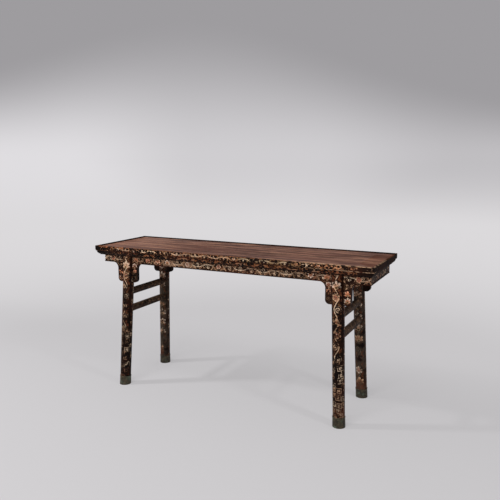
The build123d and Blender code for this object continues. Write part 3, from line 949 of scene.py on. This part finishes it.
def make_brass(name, dark, bright, green):
    """Old brass: dark and bright tones, and how much of it has gone green."""
    coat = Coat(name)
    patina = coat.place.noise(70.0, 5.0, 0.65)
    verdigris = coat.place.noise(30.0, 4.0, 0.6).rise(0.5, 0.66) * green
    handled = (coat.z - CAP_HEIGHT).rise(-5.0, -1.0).most(coat.z.rise(4.0, 0.5))
    metal = (patina + 0.12 * handled).rise(0.35, 0.7).choose(dark, bright)
    return coat.finish(verdigris.choose(metal, VERDIGRIS), 0.36 + patina * 0.3, patina, depth=0.0004,
                       metal=0.75 - verdigris * 0.6)


dress(make_brass("old brass caps", colour(46, 42, 35), colour(86, 77, 60), 0.6), *corners("foot_cap"))
dress(make_brass("old brass nails", colour(70, 60, 44), colour(122, 104, 74), 0.3), *corners("cap_nails"))

# %% [markdown]
# ## The studio
#
# The table stands on pale paper that runs back until it meets a backdrop with no line between them. A
# big floor does this if its far part takes the backdrop's own tone. The paper's tone is given straight
# to rays that come from the camera or off a glossy surface, in part near the table, so that its soft
# shadow stays, and wholly far away and behind the table, where this painted light covers the table's
# shadow. The object gets no more light from it than from plain paper.

# %% Lay the paper
PAPER = colour(200, 198, 200)
FAR_PAPER = colour(219, 217, 219)
HORIZON = colour(207, 205, 208)
# painted light at the backdrop's left and painted shade at its right, where it meets the floor
HORIZON_LEFT = colour(223, 221, 224)
HORIZON_RIGHT = colour(192, 190, 193)
PAPER_RADIUS = 150.0      # metres, far enough to pass for a horizon
GLOW_NEAR = 0.6           # how much of the tone near the table is given and not lit
RIGHTWARDS = (cos(CAMERA_TURN), sin(CAMERA_TURN), 0.0)


def horizon_tone(rightness):
    """The backdrop's tone where it meets the floor: a painted light to the left and a painted shade to the
    right.
    """
    tone = rightness.rise(-0.08, -0.3).choose(HORIZON, HORIZON_LEFT)
    return rightness.rise(0.1, 0.34).choose(tone, HORIZON_RIGHT)


def seen_directly(field):
    """1 for rays from the camera, off gloss or through glass."""
    camera = field.node("LightPath", {}, {}, output="Is Camera Ray")
    return camera.most(camera.also("Is Glossy Ray")).most(camera.also("Is Transmission Ray"))


def make_floor():
    """The paper on the floor, which is no part of the table."""
    bpy.ops.object.select_all(action="DESELECT")
    bpy.ops.mesh.primitive_circle_add(vertices=96, radius=PAPER_RADIUS, fill_type="NGON")
    floor = bpy.context.object
    floor.name = "floor"
    coat = Coat("paper")
    across = coat.x * 0.001
    deep = coat.y * 0.001
    reach = (across * across + deep * deep).root()
    nearness = 1 / reach.most(0.5)
    horizon = horizon_tone((across * RIGHTWARDS[0] + deep * RIGHTWARDS[1]) * nearness)
    tone = nearness.rise(0.0, 0.11).choose(horizon, FAR_PAPER)
    tone = nearness.rise(0.1, 0.55).choose(tone, PAPER)
    coat.finish(PAPER, 0.9, shine=0.0)
    glow = tone.node("Emission", {}, {"Color": tone, "Strength": 1.0})
    # Painted light: from under the table's back half to behind it, and far away, the paper's tone is given
    # wholly, covering the table's shadow.
    far_or_behind = reach.rise(1.6, 4.5).most(deep.rise(0.1, 1.2))
    share = seen_directly(tone) * (GLOW_NEAR + (1 - GLOW_NEAR) * far_or_behind)
    mixed = share.node("MixShader", {}, {0: share, 2: glow})
    coat.tree.links.new(coat.shader.outputs[0], mixed.socket.node.inputs[1])
    coat.tree.links.new(mixed.socket, coat.tree.nodes["Material Output"].inputs[0])
    floor.data.materials.append(coat.material)


make_floor()
print("paper laid, of", 2 * PAPER_RADIUS, "metres across")

# %% [markdown]
# ## Light
#
# One large soft lamp in front gives most of the light. Two small ones, high at each side, draw the crossed
# leg shadows on the paper. An even grey sky fills the rest, so that black lacquer keeps its drawing in
# the shade. What the camera sees of that sky is another thing: a backdrop with a painted light to the
# left and a painted shade to the right and upwards.

# %% Light the studio
SKY_LIGHT = 0.38
# the backdrop's painted shade high up
BACKDROP_TOP = colour(158, 156, 159)
LAMPS = (
    # name, place, aim, size in metres, power in watts
    ("key", (-0.2, -4.2, 3.0), (0, 0, 0.5), 3.0, 142),
    ("left lamp", (-2.9, -1.6, 3.2), (-0.2, 0, 0.3), 0.3, 76),
    ("right lamp", (3.2, -1.1, 3.0), (0.2, 0, 0.3), 0.35, 30),
)


def make_sky():
    """The backdrop above the floor's edge, which darkens upwards and to the right in painted shade, and an
    even light.
    """
    world = bpy.data.worlds.new("studio")
    world.use_nodes = True
    bpy.context.scene.world = world
    plain = world.node_tree.nodes["Background"]
    plain.inputs["Color"].default_value = (SKY_LIGHT, SKY_LIGHT, SKY_LIGHT * 1.01, 1)
    way = Field(world.node_tree.nodes.new("ShaderNodeTexCoord").outputs["Generated"])
    x, y, height = way.parts()
    rightness = x * RIGHTWARDS[0] + y * RIGHTWARDS[1]
    height = height * (1 + rightness + 6.0 * rightness * rightness)
    tone = height.rise(0.0, 0.21).choose(horizon_tone(rightness), BACKDROP_TOP)
    seen = height.node("Background", {}, {"Color": tone, "Strength": 1.0})
    share = seen_directly(height)
    mixed = share.node("MixShader", {}, {0: share, 2: seen})
    world.node_tree.links.new(plain.outputs[0], mixed.socket.node.inputs[1])
    world.node_tree.links.new(mixed.socket, world.node_tree.nodes["World Output"].inputs[0])


def add_softbox(name, place, aim, size, power):
    """A square lamp at a place, turned to shine at another."""
    data = bpy.data.lights.new(name, "AREA")
    data.size = size
    data.energy = power
    lamp = bpy.data.objects.new(name, data)
    lamp.location = place
    lamp.rotation_euler = (Vector(aim) - Vector(place)).to_track_quat("-Z", "Y").to_euler()
    bpy.context.scene.collection.objects.link(lamp)


make_sky()
for lamp in LAMPS:
    add_softbox(*lamp)
bpy.context.scene.view_settings.view_transform = "Standard"
print("lamps lit:", len(LAMPS))
